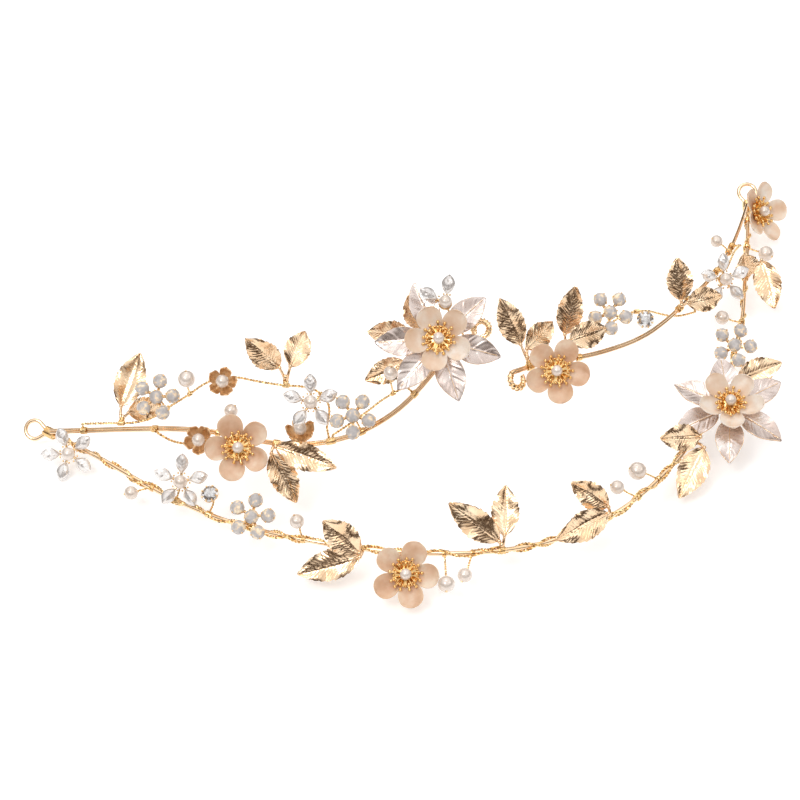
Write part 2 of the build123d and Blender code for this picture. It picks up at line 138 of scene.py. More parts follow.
def carriedFrames(line):
    # two side directions carried along a line without spinning round it
    t = tangents(line)
    side = np.cross(t[0], (0, 0, 1)) if abs(t[0][2]) < 0.9 else np.cross(t[0], (1, 0, 0))
    sides = [unit(side)]
    for k in range(1, len(line)):
        s = sides[-1] - t[k] * np.dot(sides[-1], t[k])
        sides.append(s / np.linalg.norm(s))
    sides = np.array(sides)
    return sides, np.cross(t, sides)


def newShape():
    return {"points": [], "faces": [], "paints": [], "count": 0}


def addPart(shape, points, faces, paint=0):
    points = np.asarray(points).reshape(-1, 3)
    shape["points"].append(points)
    shape["faces"] += [[i + shape["count"] for i in f] for f in faces]
    shape["paints"] += [paint] * len(faces)
    shape["count"] += len(points)


def gridFaces(rows, columns, wrap=False):
    i, j = np.meshgrid(np.arange(rows - 1), np.arange(columns if wrap else columns - 1), indexing="ij")
    k = (j + 1) % columns
    corners = [i * columns + j, i * columns + k, (i + 1) * columns + k, (i + 1) * columns + j]
    return np.stack(corners, -1).reshape(-1, 4)


def addRings(shape, rings, paint):
    # a closed skin over rings of points, capped at both ends
    count, sides = rings.shape[:2]
    faces = gridFaces(count, sides, wrap=True).tolist()
    faces.append(list(range(sides))[::-1])
    faces.append([(count - 1) * sides + k for k in range(sides)])
    addPart(shape, rings, faces, paint)


def addTube(shape, line, radius, sides=8, paint=0):
    line = np.asarray(line, float)
    a, b = carriedFrames(line)
    turn = np.linspace(0, 2 * pi, sides, endpoint=False)
    r = np.broadcast_to(np.asarray(radius, float), (len(line),))[:, None, None]
    around = a[:, None] * np.cos(turn)[None, :, None] + b[:, None] * np.sin(turn)[None, :, None]
    addRings(shape, line[:, None] + r * around, paint)


def addTwist(shape, line, strand, pitch):
    # two fine strands twisted on each other
    line = resample(np.asarray(line, float), pitch * mm / 9)
    a, b = carriedFrames(line)
    angle = 2 * pi * stations(line) / (pitch * mm)
    for half in (0, pi):
        path = line + strand * mm * (a * np.cos(angle + half)[:, None] + b * np.sin(angle + half)[:, None])
        addTube(shape, path, strand * mm, 6)


def addCoil(shape, centre, axis, core, wire, turns):
    # close turns of fine wire round a core
    axis = unit(axis)
    a, b = sideways(axis, (0.3, 0.5, 0.81))
    angle = np.linspace(0, 2 * pi * turns, turns * 12 + 1)
    length = turns * 2 * wire * mm
    reach = (core + wire * 0.8) * mm
    path = centre + axis * ((angle / angle[-1] - 0.5) * length)[:, None] + reach * (
        a * np.cos(angle)[:, None] + b * np.sin(angle)[:, None])
    addTube(shape, path, wire * mm, 6)


def addTurned(shape, profile, centre, axis, sides, paint=0, flute=None):
    # profile of (radius, height) in mm, turned round the axis; flute(angle, radius) scales the radius
    axis = unit(axis)
    a, b = sideways(axis, across + 0.01 * rise)
    turn = np.linspace(0, 2 * pi, sides, endpoint=False)
    profile = np.asarray(profile, float)
    r = profile[:, :1] * (flute(turn[None, :], profile[:, :1]) if flute else 1)
    r = np.broadcast_to(r, (len(profile), sides))
    rings = centre + mm * (r[..., None] * (a * np.cos(turn)[:, None] + b * np.sin(turn)[:, None])[None]
                           + profile[:, 1][:, None, None] * axis)
    addRings(shape, rings, paint)


def addBead(shape, centre, radius, sides, axis=rise):
    turn = np.linspace(0.12, pi - 0.12, max(6, sides * 2 // 3))
    addTurned(shape, [(radius * sin(t), -radius * cos(t)) for t in turn], centre, axis, sides)


def addSkin(shape, top, bottom):
    # a closed solid between two sheets of points of the same shape
    rows, columns = top.shape[:2]
    n = rows * columns
    quads = gridFaces(rows, columns)
    faces = quads.tolist() + (quads[:, ::-1] + n).tolist()
    rim = [(0, j) for j in range(columns)] + [(i, columns - 1) for i in range(1, rows)]
    rim += [(rows - 1, j) for j in range(columns - 2, -1, -1)] + [(i, 0) for i in range(rows - 2, 0, -1)]
    ids = [i * columns + j for i, j in rim]
    faces += [[p, q, q + n, p + n] for p, q in zip(ids, ids[1:] + ids[:1])]
    addPart(shape, np.concatenate([top.reshape(-1, 3), bottom.reshape(-1, 3)]), faces)


def sheetNormals(grid):
    n = np.cross(np.gradient(grid, axis=0), np.gradient(grid, axis=1))
    return n / np.maximum(np.linalg.norm(n, axis=2, keepdims=True), 1e-12)


def addHull(shape, seat, axis, sides, rings, radius, height=1.0, spin=0.0):
    # a cut stone: the flat facets that span its rings, each (share of the radius, level, corners, half turn)
    work = bmesh.new()
    for reach, level, count, offset in rings:
        for k in range(count):
            angle = 2 * pi * (k + offset) / count + spin
            out = sides[0] * cos(angle) + sides[1] * sin(angle)
            work.verts.new(seat + mm * (radius * reach * out + axis * height * level))
    bmesh.ops.convex_hull(work, input=work.verts)
    loose = [v for v in work.verts if not v.link_faces]
    bmesh.ops.delete(work, geom=loose, context="VERTS")
    bmesh.ops.dissolve_limit(work, angle_limit=radians(2), verts=work.verts, edges=work.edges)
    work.verts.index_update()
    addPart(shape, [v.co[:] for v in work.verts], [[v.index for v in f.verts] for f in work.faces])
    work.free()


def makePiece(name, shape, finishes, body, slotName, *nodes, sharp=38):
    mesh = bpy.data.meshes.new(name)
    mesh.from_pydata(np.concatenate(shape["points"]).tolist(), [], shape["faces"])
    mesh.polygons.foreach_set("material_index", shape["paints"])
    work = bmesh.new()
    work.from_mesh(mesh)
    bmesh.ops.recalc_face_normals(work, faces=work.faces)
    work.to_mesh(mesh)
    work.free()
    mesh.shade_smooth()
    mesh.set_sharp_from_angle(angle=radians(sharp))
    for finish in finishes:
        mesh.materials.append(finish)
    piece = bpy.data.objects.new(name, mesh)
    bpy.context.scene.collection.objects.link(piece)
    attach(piece, body)
    if nodes:
        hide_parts(*nodes)


def looseParts(node):
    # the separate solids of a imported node, with their corner points and faces
    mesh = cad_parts[node].data
    seen, weld, corners = {}, [], []
    for v in mesh.vertices:
        key = tuple(round(c, 6) for c in v.co)
        if key not in seen:
            seen[key] = len(seen)
            corners.append(v.co[:])
        weld.append(seen[key])
    parent = list(range(len(seen)))

    def top(i):
        while parent[i] != i:
            parent[i] = parent[parent[i]]
            i = parent[i]
        return i
    for face in mesh.polygons:
        first = top(weld[face.vertices[0]])
        for v in face.vertices[1:]:
            parent[top(weld[v])] = first
    corners = np.array(corners)
    parts = {}
    for face in mesh.polygons:
        ids = [weld[v] for v in face.vertices]
        parts.setdefault(top(ids[0]), []).append((ids, np.array(face.normal[:]), face.area))
    found = []
    for faces in parts.values():
        ids = sorted({i for f in faces for i in f[0]})
        found.append({"points": corners[ids], "faces": [(corners[f[0]], f[1], f[2]) for f in faces]})
    return found


def platesOf(part, least):
    # the flat plates of a loose part, each with its middle, normal, long way and size in mm
    plates, left = [], sorted(part["faces"], key=lambda f: -f[2])
    while left:
        normal = left[0][1]
        same = [f for f in left if abs(np.dot(f[1], normal)) > 0.9995]
        left = [f for f in left if abs(np.dot(f[1], normal)) <= 0.9995]
        if sum(f[2] for f in same) * 1e6 < 2 * least:
            continue
        normal = unit(normal * (1 if np.dot(normal, outward) > 0 else -1))
        corners = np.concatenate([f[0] for f in same])
        flat = corners - np.outer((corners - corners.mean(0)) @ normal, normal)
        _, way = np.linalg.eigh(np.cov((flat - flat.mean(0)).T))
        long = unit(way[:, -1])
        wide = np.cross(normal, long)
        reach, breadth = flat @ long, flat @ wide
        middle = (long * (reach.min() + reach.max()) / 2 + wide * (breadth.min() + breadth.max()) / 2
                  + normal * np.mean(corners @ normal))
        plates.append({"middle": middle, "normal": normal, "long": long,
                       "length": np.ptp(reach) / mm, "width": np.ptp(breadth) / mm})
    return plates


def ballsOf(node):
    # the middle and the radius in mm of each ball
    return [(middleOf(p["points"]), np.ptp(p["points"][:, 2]) / 2 / mm) for p in looseParts(node)]


def reachTo(points, point):
    return np.linalg.norm(points - point, axis=1).min()


def nearestLine(body, point):
    # the closest point of a body's wires, the wire's way there and its radius
    best = None
    for line, radius in lines[body]:
        k = int(np.argmin(np.linalg.norm(line - point, axis=1)))
        gap = np.linalg.norm(line[k] - point)
        if best is None or gap < best[0]:
            best = (gap, line[k], tangents(line[max(0, k - 2):k + 3])[min(2, k)], radius)
    return best[1:]


print("tools ready")


def newFinish(name, colour, metal=0.0, rough=0.3, **settings):
    finish = bpy.data.materials.new(name)
    finish.use_nodes = True
    shader = finish.node_tree.nodes["Principled BSDF"]
    shader.inputs["Base Color"].default_value = (*colour, 1)
    shader.inputs["Metallic"].default_value = metal
    shader.inputs["Roughness"].default_value = rough
    for key, value in settings.items():
        shader.inputs[key.replace("_", " ")].default_value = value
    return finish


def noiseOf(finish, scale, detail=3.0, stretch=(1, 1, 1)):
    nodes, links = finish.node_tree.nodes, finish.node_tree.links
    place, mapping, noise = (nodes.new("ShaderNode" + k) for k in ("TexCoord", "Mapping", "TexNoise"))
    mapping.inputs["Scale"].default_value = stretch
    noise.inputs["Scale"].default_value = scale
    noise.inputs["Detail"].default_value = detail
    links.new(place.outputs["Object"], mapping.inputs["Vector"])
    links.new(mapping.outputs["Vector"], noise.inputs["Vector"])
    return noise.outputs["Fac"]


def fillRamp(ramp, stops):
    while len(ramp.color_ramp.elements) < len(stops):
        ramp.color_ramp.elements.new(0.5)
    for element, (at, colour) in zip(ramp.color_ramp.elements, stops):
        element.position, element.color = at, (*colour, 1)


def varyColour(finish, scale, stops, **grain):
    nodes, links = finish.node_tree.nodes, finish.node_tree.links
    ramp = nodes.new("ShaderNodeValToRGB")
    fillRamp(ramp, stops)
    links.new(noiseOf(finish, scale, **grain), ramp.inputs["Fac"])
    links.new(ramp.outputs["Color"], nodes["Principled BSDF"].inputs["Base Color"])


def varyRoughness(finish, scale, low, high):
    nodes, links = finish.node_tree.nodes, finish.node_tree.links
    spread = nodes.new("ShaderNodeMapRange")
    spread.inputs["From Min"].default_value, spread.inputs["From Max"].default_value = 0.3, 0.7
    spread.inputs["To Min"].default_value, spread.inputs["To Max"].default_value = low, high
    links.new(noiseOf(finish, scale), spread.inputs["Value"])
    links.new(spread.outputs["Result"], nodes["Principled BSDF"].inputs["Roughness"])


def addBump(finish, scale, height, **grain):
    nodes, links = finish.node_tree.nodes, finish.node_tree.links
    bump = nodes.new("ShaderNodeBump")
    bump.inputs["Distance"].default_value = height * mm
    links.new(noiseOf(finish, scale, **grain), bump.inputs["Height"])
    links.new(bump.outputs["Normal"], nodes["Principled BSDF"].inputs["Normal"])


goldWire = newFinish("goldWire", (0.90, 0.63, 0.38), 1.0, 0.14)
varyColour(goldWire, 60, [(0.3, (0.92, 0.64, 0.39)), (0.7, (0.99, 0.76, 0.52))])
varyRoughness(goldWire, 400, 0.07, 0.16)
addBump(goldWire, 1200, 0.006, detail=2)

twistedWire = newFinish("twistedWire", (0.92, 0.68, 0.36), 1.0, 0.2)
varyColour(twistedWire, 90, [(0.3, (0.84, 0.56, 0.26)), (0.7, (0.97, 0.76, 0.44))])
varyRoughness(twistedWire, 1200, 0.16, 0.3)

castGold = newFinish("castGold", (0.84, 0.60, 0.36), 1.0, 0.14)
varyColour(castGold, 180, [(0.28, (0.80, 0.53, 0.31)), (0.5, (0.88, 0.64, 0.42)), (0.74, (0.96, 0.75, 0.53))])
varyRoughness(castGold, 700, 0.12, 0.28)
addBump(castGold, 1500, 0.05, detail=4)

clearLeaf = newFinish("clearLeaf", (0.76, 0.65, 0.60), 0.75, 0.22, Transmission_Weight=0.12, IOR=1.5,
                      Coat_Weight=0.2, Coat_Roughness=0.1)
varyColour(clearLeaf, 110, [(0.3, (0.56, 0.44, 0.38)), (0.52, (0.72, 0.61, 0.56)), (0.7, (0.90, 0.82, 0.77))])
varyRoughness(clearLeaf, 500, 0.18, 0.34)

crystal = newFinish("crystal", (0.93, 0.90, 0.88), 0.4, 0.1, Transmission_Weight=0.35, IOR=1.52,
                    Coat_Weight=0.5)
# the lighter and greyer patches in the crystal's colour are painted facet reflections
varyColour(crystal, 250, [(0.35, (0.86, 0.81, 0.78)), (0.65, (1.0, 0.98, 0.96))])
varyRoughness(crystal, 800, 0.08, 0.22)

cutStone = newFinish("cutStone", (0.97, 0.96, 0.96), 0.6, 0.02, Transmission_Weight=0.8, IOR=1.9,
                     Coat_Weight=0.5)
# the dark grey and white patches in the clear stone's colour are painted facet reflections
varyColour(cutStone, 700, [(0.38, (0.55, 0.52, 0.51)), (0.6, (1.0, 1.0, 1.0))])

setGold = newFinish("setGold", (0.87, 0.62, 0.33), 1.0, 0.2)
varyColour(setGold, 250, [(0.3, (0.78, 0.50, 0.24)), (0.7, (0.93, 0.70, 0.42))])
varyRoughness(setGold, 1100, 0.14, 0.3)

opal = newFinish("opal", (0.50, 0.48, 0.48), 0.0, 0.14, Coat_Weight=0.5, Coat_Roughness=0.05,
                 Subsurface_Weight=0.2, Subsurface_Scale=0.0012, Subsurface_Radius=(1, 1, 1))
# milky grey tone that differs at random, with warm gold patches that are painted glints
varyColour(opal, 520, [(0.36, (0.47, 0.44, 0.43)), (0.54, (0.60, 0.56, 0.54)), (0.60, (0.88, 0.68, 0.46)),
                       (0.66, (1.0, 0.86, 0.66))], detail=2)

bronze = newFinish("bronze", (0.72, 0.46, 0.23), 0.8, 0.38)
varyColour(bronze, 380, [(0.3, (0.70, 0.43, 0.21)), (0.7, (0.94, 0.68, 0.41))])
varyRoughness(bronze, 900, 0.24, 0.42)
addBump(bronze, 2200, 0.06, detail=4)

stamenGold = newFinish("stamenGold", (0.96, 0.62, 0.24), 1.0, 0.2)
varyColour(stamenGold, 300, [(0.3, (0.86, 0.49, 0.16)), (0.7, (1.0, 0.73, 0.36))])
varyRoughness(stamenGold, 900, 0.14, 0.3)

pearlCoat = newFinish("pearlCoat", (0.78, 0.67, 0.58), 0.25, 0.26, Coat_Weight=0.9, Coat_Roughness=0.06,
                      IOR=1.6)
varyColour(pearlCoat, 160, [(0.3, (0.74, 0.62, 0.52)), (0.7, (0.84, 0.75, 0.68))])
addBump(pearlCoat, 1200, 0.01, detail=3)

shell = newFinish("shell", (0.72, 0.50, 0.34), 0.0, 0.4, Subsurface_Weight=0.2, Subsurface_Scale=0.0015,
                  Subsurface_Radius=(1, 0.7, 0.5), Coat_Weight=0.15, Coat_Roughness=0.3)
varyColour(shell, 150, [(0.32, (0.62, 0.38, 0.23)), (0.5, (0.73, 0.50, 0.34)),
                        (0.68, (0.84, 0.68, 0.54))], detail=6)
addBump(shell, 900, 0.06, detail=5, stretch=(1, 1, 3))

paleShell = newFinish("paleShell", (0.82, 0.70, 0.60), 0.0, 0.36, Subsurface_Weight=0.25,
                      Subsurface_Scale=0.0015, Subsurface_Radius=(1, 0.8, 0.65), Coat_Weight=0.25,
                      Coat_Roughness=0.25)
varyColour(paleShell, 120, [(0.30, (0.70, 0.46, 0.30)), (0.48, (0.79, 0.60, 0.46)),
                            (0.66, (0.90, 0.80, 0.71))], detail=6)
addBump(paleShell, 900, 0.06, detail=5, stretch=(1, 1, 3))
print("finishes ready")

# routes of the wires on the drawing grid, and their radii, in mm
frontBand = {"radius": 0.8, "route": [
    (-139, 6, -6), (-129.5, -12, -5), (-121.5, -31, -4), (-112, -51, -3), (-99.5, -70, -2), (-84.5, -86, -1),
    (-66, -102, 0), (-47, -114, 0), (-24, -124, 0), (0, -128, 0), (24, -124, 0), (46, -114, 0), (65, -102, 0),
    (82.5, -87, -1), (97, -71, -2), (111, -53, -3), (124.5, -31, -4), (137, -12, -5), (147, 6, -6)]}
leftArm = {"radius": 0.9, "gap": 0.92, "route": [
    (-139, 4, -4), (-127.5, -7, 1), (-116, -18.5, 6.5), (-103, -31, 12), (-91, -43, 15), (-79, -55, 15),
    (-67, -64, 17), (-55, -70, 21), (-46, -73, 26), (-38, -75, 32), (-31, -75, 38), (-24, -74, 44),
    (-16, -74, 49), (-7, -76, 53)]}
rightArm = {"radius": 0.9, "gap": 0.8, "route": [
    (145.5, 4, -4), (132.5, -12, -1), (116.5, -27.5, 1.5), (103, -38, 4.5), (91, -46, 8), (78, -55, 11),
    (62, -63, 14), (44, -67, 18), (30, -69, 22), (18, -70, 26), (6, -73, 29)]}
leftVines = {"radius": 0.42, "routes": [
    [(-129.5, -4, 2.5), (-122, -12, 6.5), (-115.5, -19, 9.5), (-108.5, -21.5, 11.5), (-102.5, -22, 15),
     (-97, -24.5, 19.5), (-90, -28, 27), (-82, -32, 29), (-76, -38, 29), (-69, -45, 30), (-61, -51, 31),
     (-58, -56, 29), (-58, -60, 26), (-61, -63, 22)],
    [(-59.5, -64.5, 19), (-53.5, -63, 19.5), (-45.5, -64.5, 25), (-41, -67, 31), (-35, -72, 38)],
    [(-112, -26, 12), (-109, -31, 10), (-105, -35, 9), (-101, -38, 10), (-97, -39, 12.5)]]}
rightVines = {"radius": 0.42, "routes": [
    [(34, -65, 22), (47, -60, 21), (60, -54, 20), (70, -52, 16), (75, -51, 12), (81, -51, 8), (87, -51, 6),
     (93, -49, 4)],
    [(128, -21, 1.5), (123.5, -24.5, 3.5), (119.5, -29, 5), (114.5, -34, 5)]]}

bandLine = routeLine(laid(frontBand["route"]))
leftLine = routeLine(laid(leftArm["route"]))
rightLine = routeLine(laid(rightArm["route"]))
leftVineLines = [routeLine(laid(r)) for r in leftVines["routes"]]
rightVineLines = [routeLine(laid(r)) for r in rightVines["routes"]]
lines = {
    "front_band": [(bandLine, frontBand["radius"])],
    "left_arm": [(leftLine, leftArm["radius"])] + [(v, leftVines["radius"]) for v in leftVineLines],
    "right_arm": [(rightLine, rightArm["radius"])] + [(v, rightVines["radius"]) for v in rightVineLines],
}


shape = newShape()
addTube(shape, bandLine, frontBand["radius"] * mm, 16)
makePiece("frontBandWire", shape, [goldWire], "front_band", "gold_wire", "front_band_wire")

# each arm is two wires soldered side by side
armWire = 0.5
for side, line, arm in (("left", leftLine, leftArm), ("right", rightLine, rightArm)):
    shape = newShape()
    t = tangents(line)
    apart = rise - t * (t @ rise)[:, None]
    apart /= np.linalg.norm(apart, axis=1, keepdims=True)
    for way in (-1, 1):
        addTube(shape, line + apart * way * arm["gap"] / 2 * mm, armWire * mm, 12)
    makePiece(side + "ArmWires", shape, [goldWire], bodies[side], "gold_wire", side + "_arm_wire")

# the twisted wires that wind the front band
bandWinding = {"reach": 1.06, "pitches": (15.0, 21.0), "strand": 0.26, "twist": 2.4,
               "spans": (slice(8, -8), slice(60, 560))}
shape = newShape()
a, b = carriedFrames(bandLine)
s = stations(bandLine) / mm
for k, (pitch, span) in enumerate(zip(bandWinding["pitches"], bandWinding["spans"])):
    angle = 2 * pi * s / pitch * (-1) ** k + 0.9 * np.sin(s / 23 + k)  # the second winds the other way
    reach = (bandWinding["reach"] + 0.10 * np.sin(s / 7.3 + k) + 0.12 * k) * mm
    wound = bandLine + (reach * np.cos(angle))[:, None] * a + (reach * np.sin(angle))[:, None] * b
    addTwist(shape, wound[span], bandWinding["strand"], bandWinding["twist"])
makePiece("bandWinding", shape, [twistedWire], "front_band", "fine_twisted_wire", "front_vine_wire")

# the arms' twisted side wires, each tied to its arm where an end comes close
vine = {"strand": 0.24, "twist": 2.2, "tieReach": 6, "coilCore": 1.0, "coilWire": 0.18, "turns": 6}
for side, vineLines, arm in (("left", leftVineLines, leftLine), ("right", rightVineLines, rightLine)):
    shape = newShape()
    for line in vineLines:
        addTwist(shape, line, vine["strand"], vine["twist"])
        for end in (line[0], line[-1]):
            k = int(np.argmin(np.linalg.norm(arm - end, axis=1)))
            if np.linalg.norm(arm[k] - end) < vine["tieReach"] * mm:
                onArm = arm[k] + 0.9 * mm * unit(end - arm[k])
                bridge = np.array([end, (end + onArm) / 2 + 0.2 * mm * outward, onArm])
                addTwist(shape, bridge, vine["strand"], vine["twist"])
                addCoil(shape, arm[k], tangents(arm)[k], vine["coilCore"], vine["coilWire"], vine["turns"])
    makePiece(side + "Vines", shape, [twistedWire], bodies[side], "fine_twisted_wire", side + "_vine_wires")

# end bindings: fine wire wound round the band's end, the arm and the loop
binding = {"wire": 0.24, "turns": 9, "core": 1.55,
           "profile": [(0.6, -2.05), (1.45, -1.9), (1.5, 0), (1.45, 1.9), (0.6, 2.05)]}
for side, line in (("left", bandLine), ("right", bandLine[::-1])):
    low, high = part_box(side + "_end_binding")
    shape = newShape()
    middle = np.array((low + high) / 2)
    way = unit(line[6] - line[0])
    addCoil(shape, middle, way, binding["core"], binding["wire"], binding["turns"])
    addTurned(shape, binding["profile"], middle, way, 20)
    makePiece(side + "EndBinding", shape, [twistedWire], "front_band", "fine_twisted_wire",
              side + "_end_binding")

tipWrap = {"wire": 0.2, "reach": 1.04, "start": 0.08}


def addTipWrap(side, turns, spread):
    # thin wire wound on an arm's tip loop, along the arc where the loop has wire
    corners = np.concatenate([p["points"] for p in looseParts(side + "_tip_loop")])
    mean = corners.mean(0)
    _, way = np.linalg.eigh(np.cov((corners - mean).T))
    u, v = way[:, 2], way[:, 1]
    flat = np.stack([(corners - mean) @ u, (corners - mean) @ v], 1)
    fit = np.linalg.lstsq(np.c_[2 * flat, np.ones(len(flat))], (flat ** 2).sum(1), rcond=None)[0]
    centre = mean + fit[0] * u + fit[1] * v
    radius = np.sqrt(fit[2] + fit[0] ** 2 + fit[1] ** 2) - 0.1 * mm
    angles = np.arctan2((corners - centre) @ v, (corners - centre) @ u)
    order = np.sort(angles)
    gaps = np.diff(np.r_[order, order[0] + 2 * pi])
    start = order[(int(np.argmax(gaps)) + 1) % len(order)]
    sweep = 2 * pi - gaps.max()
    at = np.linspace(start + tipWrap["start"] * sweep, start + spread * sweep, 30 * turns)
    out = np.cos(at)[:, None] * u + np.sin(at)[:, None] * v
    spin = np.linspace(0, 2 * pi * turns, len(at))
    around = out * np.cos(spin)[:, None] + np.cross(u, v) * np.sin(spin)[:, None]
    shape = newShape()
    addTube(shape, centre + out * radius + tipWrap["reach"] * mm * around, tipWrap["wire"] * mm, 6)
    makePiece(side + "TipWrap", shape, [twistedWire], bodies[side], "fine_twisted_wire")


addTipWrap("left", 13, 0.93)
addTipWrap("right", 9, 0.9)
for node in ("left_end_loop", "right_end_loop", "left_tip_loop", "right_tip_loop"):
    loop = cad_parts[node]
    loop.data.materials.clear()
    loop.data.materials.append(goldWire)
print("wires ready")

# stems and ties, gathered for each body while the ornaments are made
ties = {body: newShape() for body in lines}
tie = {"strand": 0.2, "pitch": 1.9, "wire": 0.19, "clear": 0.12}


def tieTo(body, point, back, wraps):
    # a twisted stem from under an ornament to its wire, bound on with close turns
    foot, way, core = nearestLine(body, point)
    gap = point - foot
    reach = np.linalg.norm(gap)
    addCoil(ties[body], foot, way, core + tie["clear"], tie["wire"], wraps)
    if reach > (core + 0.6) * mm:
        start = foot + unit(gap) * core * mm * 0.8
        path = bowed(start, point - back * min(reach * 0.45, 3 * mm), point, 14)
        addTwist(ties[body], path, tie["strand"], tie["pitch"])


# cast gold leaves
goldLeaf = {"rows": 97, "columns": 35, "thickness": 0.42, "teeth": 9, "toothDepth": 0.10, "veins": 7.5,
            "slope": 1.5, "keel": 0.24, "veinHeight": 0.26, "puff": 0.22, "ribs": 0.075, "ruffle": 0.6,
            "crumple": 0.28}


def leafSheet(length, width, seed, look, curl, twist):
    # a toothed, keeled and veined sheet from its base at the origin
    dice = np.random.default_rng(seed)
    u = np.linspace(0, 1, look["rows"])[:, None]
    v = np.linspace(-1, 1, look["columns"])[None, :]
    tooth = (u * look["teeth"] + 0.2) % 1
    half = width / 2 * (np.sin(pi * u ** 0.80) ** 0.78 + 0.02 * (1 - u) + 0.012)
    half = half * (1 + look["toothDepth"] * (tooth - 0.5) * np.sin(pi * u) ** 0.4)
    y = v * half
    x = length * u + 0.06 * width * np.abs(v) ** 1.5 * np.sin(pi * u)
    phase = u * look["veins"] - np.abs(v) * look["slope"] + 0.15 * np.sign(v)
    near = np.abs(phase - np.round(phase))
    fade = np.sin(pi * np.clip(u, 0.02, 0.98)) ** 0.5
    edge = 1 - np.abs(v) ** 6
    z = look["keel"] * half * np.abs(v) ** 1.3
    z = z + look["veinHeight"] * np.exp(-(near / 0.10) ** 2) * fade * edge * (0.3 + 0.7 * np.abs(v) ** 0.3)
    z = z + look["puff"] * np.sin(pi * (phase % 1)) * np.sin(pi * np.abs(v)) * fade
    z = z + look["ribs"] * np.sin(2 * pi * phase * 5) * np.sin(pi * np.abs(v)) ** 0.5 * fade
    z = z + 0.38 * np.exp(-(v / 0.075) ** 2) * (1 - 0.7 * u) * look["veinHeight"] / 0.3
    shift = dice.uniform(0, 2 * pi, 4)
    z = z + look["ruffle"] * np.abs(v) ** 2.5 * np.sin(2 * pi * u * 2.3 + shift[0] + 1.3 * np.sign(v)) * fade
    z = z + look["crumple"] * np.sin(4.1 * u + 2.2 * v + shift[1]) * np.sin(3.3 * v - 5.2 * u + shift[2])
    z = z - z[:1, look["columns"] // 2]
    bend = curl * (u ** 2) * length
    angle = twist * u
    turned = [x + 0 * v, y * np.cos(angle) - z * np.sin(angle), bend + y * np.sin(angle) + z * np.cos(angle)]
    return np.stack(turned, -1) * mm


def placed(grid, base, long, normal):
    wide = np.cross(normal, long)
    return base + grid[..., :1] * long + grid[..., 1:2] * wide + grid[..., 2:3] * normal


def addLeaf(shape, base, long, normal, length, width, seed, look, curl, twist):
    grid = placed(leafSheet(length, width, seed, look, curl, twist), base, long, normal)
    n = sheetNormals(grid)
    n *= np.sign(np.sum(n * normal, axis=2, keepdims=True).mean())
    thick = look["thickness"] * mm / 2
    addSkin(shape, grid + n * thick, grid - n * thick)
    return grid


def leafBases(plates, body):
    # of each leaf's two ends, the base is the one closest to the others' bases and to the wire
    ends = [[p["middle"] + way * p["long"] * p["length"] / 2 * mm for way in (-1, 1)] for p in plates]
    best = None
    for pick in range(2 ** len(plates)):
        bases = [ends[i][pick >> i & 1] for i in range(len(plates))]
        cost = sum(np.linalg.norm(p - q) for p in bases for q in bases) / max(1, len(bases))
        cost += 0.5 * sum(np.linalg.norm(nearestLine(body, p)[0] - p) for p in bases)
        if best is None or cost < best[0]:
            best = (cost, bases, [unit(sum(pair) - 2 * base) for pair, base in zip(ends, bases)])
    return best[1], best[2]


leafNodes = [n for n in sorted(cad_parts) if "leaf_pair" in n]
for order, node in enumerate(leafNodes):
    side = node.split("_")[0]
    body = bodies[side]
    plates = [p for part in looseParts(node) for p in platesOf(part, 35)]
    bases, ways = leafBases(plates, body)
    shape = newShape()
    knot = np.mean(bases, axis=0)
    foot, way, core = nearestLine(body, knot)
    knot = foot + (knot - foot) * 0.45 + outward * 0.5 * mm
    for i, (plate, base, long) in enumerate(zip(plates, bases, ways)):
        dice = np.random.default_rng(40 + 10 * order + i)
        normal = plate["normal"]
        addLeaf(shape, base, long, normal, plate["length"], plate["width"] * 1.02, 100 + 10 * order + i,
                goldLeaf, dice.uniform(-0.07, 0.10), radians(dice.uniform(-16, 16)))
        stem = bowed(foot, base - long * 2.2 * mm, base + long * 1.6 * mm, 12)
        addTube(shape, stem, np.interp(np.linspace(0, 1, 12), [0, 0.5, 1], [0.5, 0.55, 0.28]) * mm, 10)
        addBead(shape, base - long * 0.3 * mm, 0.75, 10, axis=long)
    addBead(shape, knot, 0.9, 10)
    makePiece(side + "LeafPair" + node[-1], shape, [castGold], body, "cast_gold_leaf", node, sharp=60)
    height = np.linalg.norm(knot - foot)
    if height > 2.2 * mm:
        stalk = resample(np.array([foot + outward * 0.6 * mm, knot]), 0.2 * mm)
        addTwist(ties[body], stalk, tie["strand"], tie["pitch"])
    addCoil(ties[body], foot, way, core + 0.15, 0.2, 6)
    high = (knot + foot) / 2 if height > 1.5 * mm else knot
    addCoil(ties[body], high, unit(knot - foot + way * 1e-4), 0.75, 0.18, 3)
print("gold leaves ready")

# shell flowers with stamen crowns
shellPetal = {"inner": 1.9, "outer": 11.6, "width": 8.5, "thickness": 0.5, "lift": 4.0, "sprayLift": 4.8,
              "cup": 1.5, "wave": 0.2, "widest": 0.58}
stamens = {"outerPins": 13, "innerPins": 9, "ring": 5.3, "innerRing": 3.7, "height": 3.3, "beads": 13,
           "dish": [(0.5, 0.75), (3.4, 0.8), (4.3, 1.25), (4.5, 1.7), (4.1, 1.75), (3.0, 1.45), (1.9, 1.75),
                    (0.6, 1.8)]}
flowerDisc = [(0.3, -1.0), (1.5, -0.7), (2.3, -0.1), (2.3, 0.3), (0.4, 0.4)]
flowers = {
    "front_flower": ("front_band", "frontFlower"), "end_flower": ("front_band", "endFlower"),
    "front_spray": ("front_band", "frontSpray"), "left_flower": ("left_arm", "leftFlower"),
    "left_spray": ("left_arm", "leftSpray"), "right_flower": ("right_arm", "rightFlower"),
}


